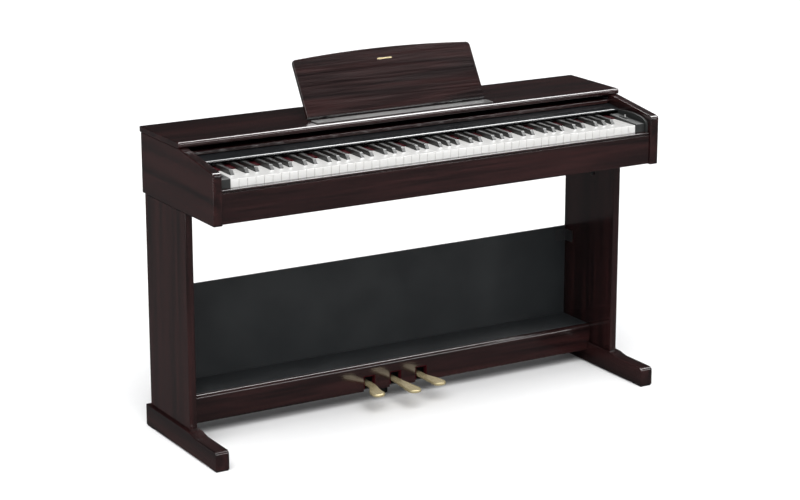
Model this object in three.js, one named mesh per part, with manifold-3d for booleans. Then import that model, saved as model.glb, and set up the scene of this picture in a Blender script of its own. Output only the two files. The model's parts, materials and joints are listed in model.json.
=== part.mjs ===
// Digital piano on a wooden stand.
// Millimetres, +Z up. The origin is on the floor at the middle of the footprint, the player
// sits on the -Y side and the bass keys are on the -X side.
import * as THREE from 'three';
import { mergeVertices } from 'three/addons/utils/BufferGeometryUtils.js';
import Module from 'manifold-3d';

const wasm = await Module();
wasm.setup();

// ---------------------------------------------------------------- driving dimensions

// General clearances
const gap = 0.3; // between pieces that are fastened to each other
const slip = 1; // between a piece that moves and its neighbour
const overlap = 1; // how far two shapes run into each other where they are joined

// Keyboard
const whiteCount = 52;
const keyPitch = 23.56; // one white key to the next
const keyGap = 0.9; // between two white keys
const octaveCount = 7;
const whiteTop = 748; // floor to the top of the white keys
const whiteThickness = 18;
const skirtHeight = 26; // front face of a white key
const skirtThickness = 3;
const headLength = 42; // white key in front of the black ones
const whiteLength = 176; // front of a white key to the bar that joins an octave
const barLength = 36; // the bar along the back of an octave
const barThickness = 7;
const pivotInset = 6; // from the back of the bar to the key pivots
const blackWidth = 10.5;
const blackRise = 11.5; // black key above the white ones
const blackSlope = 10; // how far the front of a black key leans back
const blackCapLength = 84;
const blackBodyDrop = 10; // black key below the top of the white ones
const blackRamp = 25; // where its underside starts to climb over the white bar
const stickTopDrop = 1; // the hidden back of a black key below the white tops
const barSpacing = 4; // between the white bar and the black bar

// Body
const bodyDepth = 418;
const bodyBottom = 639; // leg room from the floor to the underside of the side panels
const sideThickness = 25;
const sideFrontRise = 24.5; // front of a side panel above the white keys
const sideTopRise = 51.2; // back of a side panel above the white keys
const sideNose = 9; // rounding of a side panel's front corner
const bottomInset = 2; // the key bed above the underside of the side panels
const bedThickness = 16;
const railThickness = 17;
const railInset = 5.5; // the rail behind the front of the side panels
const railTopDrop = 20; // the rail's lip below the white keys
const railLipHeight = 5.5;
const railLipProud = 1;
const railGrooveHeight = 3;
const railGrooveDepth = 3;
const keyFrontGap = 1.5; // the rail to the front of the white keys
const backThickness = 13;
const topThickness = 15.5;
const topDepth = 234;
const topOverhangBack = 4;
const topOverhangSide = 1.3;
const topNose = 7;

// End blocks beside the keys
const blockWidth = 33.5;
const linerThickness = 6.7; // the raised wall against the side panel
const blockFrontInset = 22; // front of the block's box behind the side panels' front
const linerFrontInset = 14;
const blockRise = 3; // front of the block's top above the white keys
const blockSlopeRise = 6; // how much the block's top climbs to its back
const linerRise = 22; // highest point of the liner above the white keys

// Control panel
const panelFront = 146; // its front edge behind the side panels' front
const panelLip = 5; // height of its front edge
const panelClear = 4; // above the black keys
const panelSlopeDepth = 49;
const panelWall = 4;
const panelRearGap = 9; // behind the key bars
const panelCoverGap = 2; // under the lip of the key cover

// Felt strip over the back of the keys
const feltThickness = 2.4;
const feltFront = 119;
const feltDepth = 46;
const feltRise = 0.6;

// Key cover
const coverInset = 5; // its lip behind the front of the lid
const coverDepth = 200; // front of its lip to its pivot
const coverThickness = 5;
const coverLipHeight = 9;
const coverLipDepth = 6;
const coverGapAbove = 13.5; // lid underside to the top of the cover
const shaftRadius = 3;
const rollerRadius = 4.5;
const rollerWidth = 6;
const lugRadius = 6;
const lugWidth = 30;
const lugOffset = 500;
const railWall = 2;
const railFlange = 11;

// Inside the body
const chassisWall = 3;
const chassisRibWidth = 10;
const pivotRibWidth = 14;
const speakerRadius = 64;
const speakerHeight = 58;
const speakerOffset = 480;
const speakerHoleRadius = 58;
const boardWidth = 360;
const boardDepth = 104;
const boardLift = 5;

// Sockets
const socketRadius = 3.5;
const powerSocketRadius = 4.5;
const socketDepth = 30;
const jackBoxWidth = 50;
const jackBoxDepth = 56;
const jackBoxHeight = 24;
const jackBoxInset = 18; // from the side panel
const jackBoxSetback = 80; // behind the front rail
const rearPanelWidth = 120;
const rearPanelHeight = 36;
const rearPanelOffset = -290;
const rearPanelRise = 8; // above the key bed

// Switches
const buttonTravel = 2;
const buttonProud = 2.5;
const buttonDepth = 8;
const pocketDepth = 12;
const powerLength = 30;
const powerWidth = 9;
const sliderLength = 12;
const sliderSlotLength = 44;
const sliderWidth = 8;
const smallButtonLength = 11;
const smallButtonWidth = 9;
const smallButtonPitch = 18;
const smallButtonCount = 2;

// Music rest
const restWidth = 546;
const restLength = 173;
const restThickness = 9;
const restCrown = 11; // how much the middle of the top edge rises
const restCorner = 12;
const restLean = 59.4; // degrees from the lid up to the rest
const restInset = 68; // its pivot behind the front of the lid
const restPivotLift = 5;
const ledgeWidth = 538;
const ledgeDepth = 34;
const ledgeHeight = 2.5;
const ledgeInset = 17; // behind the front of the lid
const supportReach = 82; // along the rest to the supports' pivots
const supportSlope = 40; // degrees from the lid up to a support
const supportWidth = 16;
const supportThickness = 3;
const supportOffset = 170;

// Stand
const legThickness = 21;
const legInset = 1.4; // outer face of a leg inside that of the side panel
const legFront = 167; // behind the side panels' front
const legBackInset = 13;
const footLength = 418;
const footWidth = 38;
const footProud = 7.7; // outer face of a foot outside that of its leg
const footHeight = 57.5;
const toeDrop = 6.5; // the toe below the back of the foot
const toeStart = 47; // in front of the leg
const padThickness = 3;
const padLength = 40;
const padInset = 2;
const standPanelThickness = 5;
const standPanelTop = 378;
const pedalBoxBottom = 38.5;
const pedalBoxHeight = 76;
const pedalBoxFront = 266;
const pedalBoxWall = 15;
const pedalBoxNose = 13; // rounding of the box's front top edge
const pedalBoxSkin = 3;
const bracketHeight = 33;
const bracketReach = 36;
const bracketThickness = 2;
const bracketDrop = 10; // below the top of the stand's back panel

// Pedals
const pedalPitch = 82;
const pedalSlotWidth = 36;
const pedalSlotTop = 82;
const pedalTop = 60.5;
const pedalThickness = 8.5;
const pedalNeckWidth = 20;
const pedalTipWidth = 37;
const pedalTail = 86; // from the front of the box back to the end of a pedal
const pedalPivotInset = 8;
const earThickness = 4;
const earGap = 1.5;
const pedals = [
  { name: 'soft_pedal', side: -1, reach: 98, flare: -20 },
  { name: 'sostenuto_pedal', side: 0, reach: 118, flare: 0 },
  { name: 'sustain_pedal', side: 1, reach: 98, flare: 8 },
];
const levellerRadius = 15;
const levellerFootHeight = 14;
const levellerStemRadius = 7;

// ---------------------------------------------------------------- worked-out places

const keyboardHalf = (whiteCount * keyPitch) / 2;
const innerHalf = keyboardHalf + slip + blockWidth + gap;
const bodyHalf = innerHalf + sideThickness;
const standHalf = bodyHalf - legInset;
const standInner = standHalf - legThickness;
const sideTop = whiteTop + sideTopRise;
const topUnder = sideTop + gap;
const topSurface = topUnder + topThickness;
const front = -(bodyDepth + topOverhangBack) / 2;
const bodyBack = front + bodyDepth;
const lidBack = bodyBack + topOverhangBack;
const lidFront = lidBack - topDepth;
const bedUnder = bodyBottom + bottomInset;
const bedTop = bedUnder + bedThickness;
const railFront = front + railInset;
const railBack = railFront + railThickness;
const keyFront = railBack + keyFrontGap;
const headBack = keyFront + headLength;
const barFront = keyFront + whiteLength;
const barBack = barFront + barLength;
const whiteUnder = whiteTop - whiteThickness;
const blackTop = whiteTop + blackRise;
const legY = front + legFront;
const legBack = bodyBack - legBackInset;
const coverTop = topUnder - coverGapAbove;
const coverUnder = coverTop - coverThickness;
const coverLipUnder = coverTop - coverLipHeight;
const coverFront = lidFront + coverInset;
const shaftY = coverFront + coverDepth;
const shaftZ = coverTop - coverThickness / 2;
const panelUnder = blackTop + panelClear;
const panelTopFront = panelUnder + panelLip;
const panelTopBack = coverLipUnder - panelCoverGap;
const panelWallFront = barBack + panelRearGap;
const backFront = bodyBack - backThickness;
const footSeat = padThickness + footHeight;
const footInner = standHalf + footProud - footWidth;
const restY = lidFront + restInset;
const restZ = topSurface + restPivotLift;

// ---------------------------------------------------------------- materials

const wood = finish('#33211f', 0.35, 0);
const panelBlack = finish('#1d2023', 0.25, 0);
const plasticBlack = finish('#26292b', 0.55, 0);
const keyWhite = finish('#f5f5f2', 0.3, 0);
const keyBlack = finish('#2e302e', 0.5, 0);
const feltRed = finish('#8f2035', 0.95, 0);
const brassPale = finish('#c8b684', 0.25, 0.9);
const steelDark = finish('#3a3c3e', 0.4, 0.8);
const steelPlain = finish('#a9abad', 0.35, 0.9);
const rubberBlack = finish('#151515', 0.9, 0);
const boardPaint = finish('#26292c', 0.6, 0);
const greyTrim = finish('#b9b8b6', 0.4, 0);
const circuitGreen = finish('#1f4a33', 0.5, 0);
const coneGrey = finish('#2a2a2a', 0.8, 0);

function finish(color, roughness, metalness) {
  return new THREE.MeshStandardMaterial({ color, roughness, metalness });
}

// ---------------------------------------------------------------- shape helpers

// A closed outline from corners [u, v, round]. round is how far from the corner its
// rounding starts along each edge, and a corner without it stays sharp.
function outline(corners) {
  const shape = new THREE.Shape();
  corners.forEach(([u, v, round = 0], i) => {
    const corner = new THREE.Vector2(u, v);
    const before = new THREE.Vector2(...corners.at(i - 1).slice(0, 2));
    const after = new THREE.Vector2(...corners[(i + 1) % corners.length].slice(0, 2));
    const start = before.sub(corner).setLength(round).add(corner);
    const end = after.sub(corner).setLength(round).add(corner);
    if (i === 0) shape.moveTo(start.x, start.y);
    else shape.lineTo(start.x, start.y);
    if (round > 0) shape.quadraticCurveTo(u, v, end.x, end.y);
  });
  shape.closePath();
  return shape;
}

function extrude(shape, depth) {
  return new THREE.ExtrudeGeometry(shape, { depth, bevelEnabled: false, curveSegments: 5 });
}

// A side-view outline in (y, z), drawn out along X from x0 to x1.
function acrossX(shape, x0, x1) {
  const turn = new THREE.Matrix4().makeBasis(
    new THREE.Vector3(0, 1, 0),
    new THREE.Vector3(0, 0, 1),
    new THREE.Vector3(1, 0, 0),
  );
  return extrude(shape, x1 - x0).applyMatrix4(turn).translate(x0, 0, 0);
}

// A front-view outline in (x, z), drawn out along Y from y0 to y1.
function alongY(shape, y0, y1) {
  return extrude(shape, y1 - y0).rotateX(Math.PI / 2).translate(0, y1, 0);
}

// A plan outline in (x, y), drawn out along Z from z0 to z1.
function upZ(shape, z0, z1) {
  return extrude(shape, z1 - z0).translate(0, 0, z0);
}

function block([x0, x1], [y0, y1], [z0, z1]) {
  const box = new THREE.BoxGeometry(x1 - x0, y1 - y0, z1 - z0);
  return box.translate((x0 + x1) / 2, (y0 + y1) / 2, (z0 + z1) / 2);
}

function cylinderX(radius, x0, x1, y, z, sides = 24) {
  const bar = new THREE.CylinderGeometry(radius, radius, x1 - x0, sides);
  return bar.rotateZ(Math.PI / 2).translate((x0 + x1) / 2, y, z);
}

function cylinderY(radius, x, y0, y1, z, sides = 24) {
  const bar = new THREE.CylinderGeometry(radius, radius, y1 - y0, sides);
  return bar.translate(x, (y0 + y1) / 2, z);
}

// A turned piece standing at (x, y), from a profile of (radius, z) points.
function turned(profile, x, y, sides = 32) {
  const points = profile.map(([r, z]) => new THREE.Vector2(r, z));
  return new THREE.LatheGeometry(points, sides).rotateX(Math.PI / 2).translate(x, y, 0);
}

function toSolid(geometry) {
  const bare = geometry.clone();
  bare.deleteAttribute('normal');
  bare.deleteAttribute('uv');
  const merged = mergeVertices(bare, 1e-4);
  const vertProperties = new Float32Array(merged.attributes.position.array);
  const triVerts = new Uint32Array(merged.index.array);
  return new wasm.Manifold(new wasm.Mesh({ numProp: 3, vertProperties, triVerts }));
}

function toGeometry(solid) {
  const { vertProperties, triVerts } = solid.getMesh();
  const geometry = new THREE.BufferGeometry();
  geometry.setAttribute('position', new THREE.BufferAttribute(vertProperties, 3));
  geometry.setIndex(new THREE.BufferAttribute(triVerts, 1));
  geometry.computeVertexNormals();
  return geometry;
}

function join(...geometries) {
  return toGeometry(geometries.map(toSolid).reduce((whole, next) => whole.add(next)));
}

function cut(geometry, ...cutters) {
  const start = toSolid(geometry);
  return toGeometry(cutters.map(toSolid).reduce((whole, next) => whole.subtract(next), start));
}

function mirrored(geometry) {
  return toGeometry(toSolid(geometry).mirror([1, 0, 0]));
}

const piano = new THREE.Group();

function add(name, geometry, material) {
  const mesh = new THREE.Mesh(geometry, material);
  mesh.name = name;
  piano.add(mesh);
}

// The same piece on the bass side and on the treble side.
function addPair(name, geometry, material) {
  add(`right_${name}`, geometry, material);
  add(`left_${name}`, mirrored(geometry), material);
}

// ---------------------------------------------------------------- keys

// Black keys follow C, D, F, G and A. The number is how far the black key stands off the
// line between its two white keys, in key pitches; the list starts at C.
const blackOffsets = [-0.1, 0.1, null, -0.14, 0, 0.14, null];

// Centre of the black key to the right of a white key, or null where there is none.
function blackAfter(white) {
  const offset = blackOffsets[(white + 5) % 7];
  if (offset === null || white < 0 || white >= whiteCount - 1) return null;
  return whiteLeft(white + 1) + offset * keyPitch;
}

function whiteLeft(white) {
  return white * keyPitch - keyboardHalf;
}

// The first octave also holds the extra keys at the bass end, and the last one the top C.
function octaveWhites(octave) {
  const first = octave === 0 ? 0 : 2 + 7 * octave;
  const end = octave === octaveCount - 1 ? whiteCount : 2 + 7 * (octave + 1);
  return Array.from({ length: end - first }, (_, i) => first + i);
}

// A white key in plan: a wide head, and a tail that is narrower beside a black key.
function whitePlan(white) {
  const clear = blackWidth / 2 + slip;
  const notch = headBack - slip - 0.5;
  const left = whiteLeft(white) + keyGap / 2;
  const right = whiteLeft(white + 1) - keyGap / 2;
  const blackLeft = blackAfter(white - 1);
  const blackRight = blackAfter(white);
  const corners = [[left, keyFront], [right, keyFront]];
  if (blackRight === null) {
    corners.push([right, barFront]);
  } else {
    corners.push([right, notch], [blackRight - clear, notch], [blackRight - clear, barFront]);
  }
  if (blackLeft === null) {
    corners.push([left, barFront]);
  } else {
    corners.push([blackLeft + clear, barFront], [blackLeft + clear, notch], [left, notch]);
  }
  return outline(corners);
}

function whiteOctave(whites) {
  const barLeft = whiteLeft(whites[0]) + keyGap / 2;
  const barRight = whiteLeft(whites.at(-1) + 1) - keyGap / 2;
  const keys = whites.map((white) => upZ(whitePlan(white), whiteUnder, whiteTop));
  const bar = block(
    [barLeft, barRight],
    [barFront - overlap, barBack],
    [whiteUnder, whiteUnder + barThickness],
  );
  const skirts = whites.map((white) => block(
    [whiteLeft(white) + keyGap / 2, whiteLeft(white + 1) - keyGap / 2],
    [keyFront, keyFront + skirtThickness],
    [whiteTop - skirtHeight, whiteUnder + overlap],
  ));
  return join(bar, ...keys, ...skirts);
}

// A black key from the side: leaning front, raised cap, and a low stick under the felt.
function blackOctave(whites) {
  const capBack = headBack + blackCapLength;
  const stickTop = whiteTop - stickTopDrop;
  const barUnder = whiteUnder + barThickness + barSpacing;
  const side = outline([
    [headBack, whiteTop - blackBodyDrop],
    [headBack, whiteTop],
    [headBack + blackSlope, blackTop, 2],
    [capBack, blackTop],
    [capBack, stickTop],
    [barBack, stickTop],
    [barBack, barUnder],
    [barFront - slip * 5, barUnder],
    [barFront - blackRamp, whiteTop - blackBodyDrop],
  ]);
  const centres = whites.map(blackAfter).filter((centre) => centre !== null);
  const keys = centres.map((x) => acrossX(side, x - blackWidth / 2, x + blackWidth / 2));
  const bar = block(
    [centres[0] - blackWidth / 2, centres.at(-1) + blackWidth / 2],
    [barFront + slip * 4, barBack],
    [barUnder, stickTop],
  );
  return join(bar, ...keys);
}

function addKeys() {
  for (let octave = 0; octave < octaveCount; octave += 1) {
    const whites = octaveWhites(octave);
    add(`white_keys_${octave + 1}`, whiteOctave(whites), keyWhite);
    add(`black_keys_${octave + 1}`, blackOctave(whites), keyBlack);
  }
}

// Felt comb: a strip over the back of the keys with a slot for each black cap.
function addFelt() {
  const y0 = front + feltFront;
  const barStart = headBack + blackCapLength + slip * 2;
  const clear = blackWidth / 2 + slip;
  const half = keyboardHalf;
  const corners = [[-half, y0]];
  for (let white = 0; white < whiteCount; white += 1) {
    const x = blackAfter(white);
    if (x !== null) {
      corners.push([x - clear, y0], [x - clear, barStart], [x + clear, barStart], [x + clear, y0]);
    }
  }
  corners.push([half, y0], [half, y0 + feltDepth], [-half, y0 + feltDepth]);
  const z0 = whiteTop + feltRise;
  add('felt_strip', upZ(outline(corners), z0, z0 + feltThickness), feltRed);
}

// Keyboard chassis: a floor plate with a front rib, a middle rib and the pivot rib.
function addChassis() {
  const floor = bedTop + gap;
  const plate = floor + chassisWall;
  const pivotTop = whiteUnder - 0.6;
  const ribTop = whiteUnder - 26;
  const y0 = keyFront + 8;
  const middle = (keyFront + barBack) / 2;
  const y1 = barBack + 2;
  const side = outline([
    [y0, floor],
    [y1, floor],
    [y1, pivotTop],
    [y1 - pivotRibWidth, pivotTop],
    [y1 - pivotRibWidth, plate],
    [middle + chassisRibWidth, plate],
    [middle + chassisRibWidth, ribTop],
    [middle, ribTop],
    [middle, plate],
    [y0 + chassisRibWidth, plate],
    [y0 + chassisRibWidth, ribTop],
    [y0, ribTop],
  ]);
  add('keyboard_chassis', acrossX(side, -keyboardHalf, keyboardHalf), steelPlain);
}

// ---------------------------------------------------------------- body

function addSidePanels() {
  const side = outline([
    [front, bodyBottom, 3],
    [bodyBack, bodyBottom],
    [bodyBack, sideTop],
    [lidFront, sideTop, 4],
    [front, whiteTop + sideFrontRise, sideNose],
  ]);
  addPair('side_panel', acrossX(side, innerHalf, bodyHalf), wood);
}

function addTopBoard() {
  const side = outline([
    [lidFront, topUnder, topNose],
    [lidBack, topUnder],
    [lidBack, topSurface, 3],
    [lidFront, topSurface, topNose],
  ]);
  const half = bodyHalf + topOverhangSide;
  add('top_board', acrossX(side, -half, half), wood);
}

// Front rail with a rounded lip along its top and a groove under the lip.
function addFrontRail() {
  const top = whiteTop - railTopDrop;
  const lipUnder = top - railLipHeight;
  const grooveUnder = lipUnder - railGrooveHeight;
  const side = outline([
    [railFront, bedUnder, 2],
    [railBack, bedUnder],
    [railBack, top, 2],
    [railFront - railLipProud, top, 2.5],
    [railFront - railLipProud, lipUnder, 2],
    [railFront + railGrooveDepth, lipUnder],
    [railFront + railGrooveDepth, grooveUnder],
    [railFront, grooveUnder, 1],
  ]);
  const half = innerHalf - gap;
  add('front_rail', acrossX(side, -half, half), wood);
}

function roundHole(x, y, radius) {
  const hole = new THREE.Path();
  hole.absarc(x, y, radius, 0, Math.PI * 2);
  return hole;
}

function speakerY() {
  return (panelWallFront + panelWall + backFront) / 2;
}

function addKeyBed() {
  const half = innerHalf - gap;
  const plan = outline([
    [-half, railBack + gap],
    [half, railBack + gap],
    [half, backFront - gap],
    [-half, backFront - gap],
  ]);
  plan.holes.push(roundHole(-speakerOffset, speakerY(), speakerHoleRadius));
  plan.holes.push(roundHole(speakerOffset, speakerY(), speakerHoleRadius));
  const bed = new THREE.ExtrudeGeometry(plan, { depth: bedThickness, bevelEnabled: false, curveSegments: 16 });
  add('key_bed', bed.translate(0, 0, bedUnder), boardPaint);
}

function rearPanelZ() {
  return bedTop + rearPanelRise;
}

function addBackBoard() {
  const half = innerHalf - gap;
  const board = block([-half, half], [backFront, bodyBack], [bedUnder, sideTop]);
  const window = block(
    [rearPanelOffset - rearPanelWidth / 2, rearPanelOffset + rearPanelWidth / 2],
    [backFront - overlap, bodyBack + overlap],
    [rearPanelZ(), rearPanelZ() + rearPanelHeight],
  );
  add('back_board', cut(board, window), boardPaint);
}

// Box beside the keys, over the rail's lip and down to the key bed, with a raised liner
// against the side panel. Its top climbs gently.
function keyBlock() {
  const back = front + panelFront - slip;
  const under = whiteTop - railTopDrop + gap;
  const boxFront = front + blockFrontInset;
  const linerFront = front + linerFrontInset;
  const x0 = keyboardHalf + slip;
  const x1 = x0 + blockWidth;
  const linerX = x1 - linerThickness;
  const box = outline([
    [boxFront, under],
    [railBack + gap, under],
    [railBack + gap, bedTop + gap],
    [back, bedTop + gap],
    [back, whiteTop + blockRise + blockSlopeRise],
    [boxFront, whiteTop + blockRise, 2],
  ]);
  const liner = new THREE.Shape();
  liner.moveTo(linerFront, under);
  liner.lineTo(back, under);
  liner.lineTo(back, whiteTop + linerRise - 3);
  liner.quadraticCurveTo(front + 90, whiteTop + linerRise + 2, front + 60, whiteTop + linerRise - 1);
  liner.quadraticCurveTo(linerFront, whiteTop + linerRise - 5, linerFront, whiteTop);
  liner.closePath();
  return join(acrossX(box, x0, linerX + overlap), acrossX(liner, linerX, x1));
}

// Middle of the block's flat top across X, and its height at a place along Y.
function blockX() {
  return keyboardHalf + slip + (blockWidth - linerThickness) / 2;
}

function blockTopAt(y) {
  const y0 = front + blockFrontInset;
  const y1 = front + panelFront - slip;
  return whiteTop + blockRise + (blockSlopeRise * (y - y0)) / (y1 - y0);
}

// A pocket in a key block for a switch, and the switch that stands in it.
function pocket(x, y, width, length) {
  return block(
    [x - width / 2, x + width / 2],
    [y - length / 2, y + length / 2],
    [blockTopAt(y) - pocketDepth, blockTopAt(y) + pocketDepth],
  );
}

function keycap(x, y, width, length) {
  const top = blockTopAt(y) + buttonProud;
  return block(
    [x - width / 2, x + width / 2],
    [y - length / 2, y + length / 2],
    [top - buttonProud - buttonDepth, top],
  );
}

const powerY = front + 98;
const sliderSlotY = front + 62;
const smallButtonY = front + 102;

function addKeyBlocks() {
  const x = blockX();
  const powerPocket = pocket(x, powerY, powerWidth + slip, powerLength + slip);
  add('right_key_block', cut(keyBlock(), powerPocket), plasticBlack);
  add('power_switch', keycap(x, powerY, powerWidth, powerLength), greyTrim);

  const cutters = [pocket(-x, sliderSlotY, sliderWidth + slip, sliderSlotLength)];
  for (let i = 0; i < smallButtonCount; i += 1) {
    const y = smallButtonY + i * smallButtonPitch;
    cutters.push(pocket(-x, y, smallButtonWidth + slip, smallButtonLength + slip));
    add(`sound_button_${i + 1}`, keycap(-x, y, smallButtonWidth, smallButtonLength), greyTrim);
  }
  add('left_key_block', cut(mirrored(keyBlock()), ...cutters), plasticBlack);
  add('volume_slider', keycap(-x, sliderSlotY, sliderWidth, sliderLength), greyTrim);
}

// Control panel: front lip, sloping top and a rear wall that stands on the key bed.
function addControlPanel() {
  const y0 = front + panelFront;
  const slopeBack = y0 + panelSlopeDepth;
  const wallBack = panelWallFront + panelWall;
  const side = outline([
    [y0, panelUnder, 1],
    [y0, panelTopFront, 3.5],
    [slopeBack, panelTopBack, 6],
    [wallBack, panelTopBack],
    [wallBack, bedTop + gap],
    [panelWallFront, bedTop + gap],
    [panelWallFront, panelTopBack - panelWall],
    [slopeBack, panelTopBack - panelWall],
    [y0 + panelWall * 2, panelUnder + 1.5],
    [y0 + panelWall, panelUnder],
  ]);
  const half = innerHalf - gap;
  add('control_panel', acrossX(side, -half, half), panelBlack);
}

// Channels on the side panels in which the cover's rollers run.
function addCoverRails() {
  const x1 = innerHalf - gap;
  const x0 = x1 - railFlange;
  const up = shaftZ + rollerRadius + 0.5;
  const down = shaftZ - rollerRadius - 0.5;
  const section = outline([
    [x0, down - railWall],
    [x1, down - railWall],
    [x1, up + railWall],
    [x0, up + railWall],
    [x0, up],
    [x1 - railWall, up],
    [x1 - railWall, down],
    [x0, down],
  ]);
  const y0 = coverFront + coverLipDepth + slip * 4;
  addPair('cover_rail', alongY(section, y0, backFront - gap), steelDark);
}

function addCoverShaft() {
  const end = innerHalf - gap - railWall - slip;
  const rod = cylinderX(shaftRadius, -end, end, shaftY, shaftZ);
  const rollers = [-1, 1].map((side) => {
    const x = side * (end - rollerWidth / 2);
    return cylinderX(rollerRadius, x - rollerWidth / 2, x + rollerWidth / 2, shaftY, shaftZ);
  });
  add('cover_shaft', join(rod, ...rollers), steelPlain);
}

// Key cover: a thin plate with a lip along its front and lugs that turn on the shaft.
function addKeyCover() {
  const plateHalf = innerHalf - gap - railFlange - slip * 2;
  const lowerLipHalf = innerHalf - gap - linerThickness - slip;
  const lipHalf = innerHalf - slip;
  const plateBack = shaftY - shaftRadius - slip;
  const lipBack = coverFront + coverLipDepth;
  const plate = block([-plateHalf, plateHalf], [lipBack - overlap, plateBack], [coverUnder, coverTop]);
  const lowerLip = block([-lowerLipHalf, lowerLipHalf], [coverFront, lipBack], [coverLipUnder, coverTop - 2]);
  const lipSide = outline([
    [coverFront, coverUnder],
    [lipBack, coverUnder],
    [lipBack, coverTop],
    [coverFront, coverTop, 3],
  ]);
  const lugs = [-lugOffset, 0, lugOffset].flatMap((x) => {
    const span = [x - lugWidth / 2, x + lugWidth / 2];
    const ring = cylinderX(lugRadius, ...span, shaftY, shaftZ);
    const arm = block(span, [plateBack - overlap, shaftY], [coverUnder, coverTop]);
    return [ring, arm];
  });
  const whole = join(plate, lowerLip, acrossX(lipSide, -lipHalf, lipHalf), ...lugs);
  const bore = cylinderX(shaftRadius + 0.4, -innerHalf, innerHalf, shaftY, shaftZ);
  add('key_cover', cut(whole, bore), wood);
}

// ---------------------------------------------------------------- inside the body

// Loudspeaker over its hole in the key bed, with its cone open to the floor.
function addSpeakers() {
  const z = bedTop + gap;
  const profile = [
    [0, z + 34],
    [18, z + 30],
    [speakerHoleRadius - 8, z],
    [speakerRadius, z],
    [speakerRadius, z + 5],
    [speakerHoleRadius - 6, z + 8],
    [34, z + 38],
    [34, z + speakerHeight],
    [0, z + speakerHeight],
  ];
  add('left_speaker', turned(profile, -speakerOffset, speakerY()), coneGrey);
  add('right_speaker', turned(profile, speakerOffset, speakerY()), coneGrey);
}

// Main circuit board on its spacers, with its larger components.
function addCircuitBoard() {
  const z = bedTop + gap;
  const y0 = speakerY() - boardDepth / 2;
  const y1 = speakerY() + boardDepth / 2;
  const half = boardWidth / 2;
  const plate = block([-half, half], [y0, y1], [z + boardLift, z + boardLift + 1.6]);
  const spacers = [-1, 1].flatMap((side) => [y0 + 8, y1 - 8].map((y) => {
    const x = side * (half - 8);
    return block([x - 4, x + 4], [y - 4, y + 4], [z, z + boardLift + overlap]);
  }));
  const top = z + boardLift + overlap;
  const parts = [
    block([-60, -20], [speakerY() - 20, speakerY() + 20], [top, top + 6]),
    block([10, 40], [speakerY() - 10, speakerY() + 20], [top, top + 5]),
    block([90, 150], [speakerY() - 14, speakerY() + 14], [top, top + 26]),
    block([-150, -110], [speakerY() + 10, speakerY() + 40], [top, top + 14]),
  ];
  add('circuit_board', join(plate, ...spacers, ...parts), circuitGreen);
}

// Box under the key bed at the bass end with two headphone sockets in its front.
function addHeadphoneBox() {
  const x0 = -(innerHalf - jackBoxInset);
  const x1 = x0 + jackBoxWidth;
  const y0 = railBack + jackBoxSetback;
  const z1 = bedUnder - gap;
  const z = z1 - jackBoxHeight / 2;
  const box = block([x0, x1], [y0, y0 + jackBoxDepth], [z1 - jackBoxHeight, z1]);
  const sockets = [0.27, 0.73].map((share) => {
    const x = x0 + share * jackBoxWidth;
    return cylinderY(socketRadius, x, y0 - overlap, y0 + socketDepth, z);
  });
  add('headphone_jack_box', cut(box, ...sockets), plasticBlack);
}

// Plate in the back board with the power inlet, a line socket and a data socket.
function addRearJackPanel() {
  const half = rearPanelWidth / 2 - gap;
  const z0 = rearPanelZ() + gap;
  const z1 = rearPanelZ() + rearPanelHeight - gap;
  const z = (z0 + z1) / 2;
  const face = bodyBack - 4;
  const plate = block([rearPanelOffset - half, rearPanelOffset + half], [face - 3, face], [z0, z1]);
  const housing = block(
    [rearPanelOffset - half + 8, rearPanelOffset + half - 8],
    [face - socketDepth - 4, face - 2],
    [z - 11, z + 11],
  );
  const holes = [
    cylinderY(powerSocketRadius, rearPanelOffset + 36, face - socketDepth, face + overlap, z),
    cylinderY(socketRadius, rearPanelOffset, face - socketDepth, face + overlap, z),
    block([rearPanelOffset - 42, rearPanelOffset - 30], [face - 18, face + overlap], [z - 5.5, z + 5.5]),
  ];
  add('rear_jack_panel', cut(join(plate, housing), ...holes), plasticBlack);
}

// ---------------------------------------------------------------- music rest

function radians(degrees) {
  return (degrees * Math.PI) / 180;
}

// The rest is drawn flat, from its foot up, and then leaned back about its pivot.
function addMusicRest() {
  const half = restWidth / 2;
  const shape = new THREE.Shape();
  const top = restLength - restCrown;
  shape.moveTo(-half, 0);
  shape.lineTo(half, 0);
  shape.lineTo(half, top - restCorner);
  shape.quadraticCurveTo(half, top, half - restCorner, top + 1);
  shape.quadraticCurveTo(0, top + 2 * restCrown - 1, -half + restCorner, top + 1);
  shape.quadraticCurveTo(-half, top, -half, top - restCorner);
  shape.closePath();
  const flat = new THREE.ExtrudeGeometry(shape, {
    depth: restThickness,
    bevelEnabled: false,
    curveSegments: 12,
  });
  const rest = flat.translate(0, 0, -restThickness / 2).rotateX(radians(restLean));
  add('music_rest', rest.translate(0, restY, restZ), wood);
}

function addLedge() {
  const y0 = lidFront + ledgeInset;
  const z0 = topSurface + gap;
  const side = outline([
    [y0, z0],
    [y0 + ledgeDepth, z0],
    [y0 + ledgeDepth, z0 + ledgeHeight, 0.8],
    [y0, z0 + ledgeHeight, 0.8],
  ]);
  add('rest_ledge', acrossX(side, -ledgeWidth / 2, ledgeWidth / 2), greyTrim);
}

// Place of the supports' pivots behind the leaning rest.
function supportPivot() {
  const lean = radians(restLean);
  const back = restThickness / 2 + supportThickness;
  return {
    y: restY + supportReach * Math.cos(lean) + back * Math.sin(lean),
    z: restZ + supportReach * Math.sin(lean) - back * Math.cos(lean),
  };
}

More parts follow.
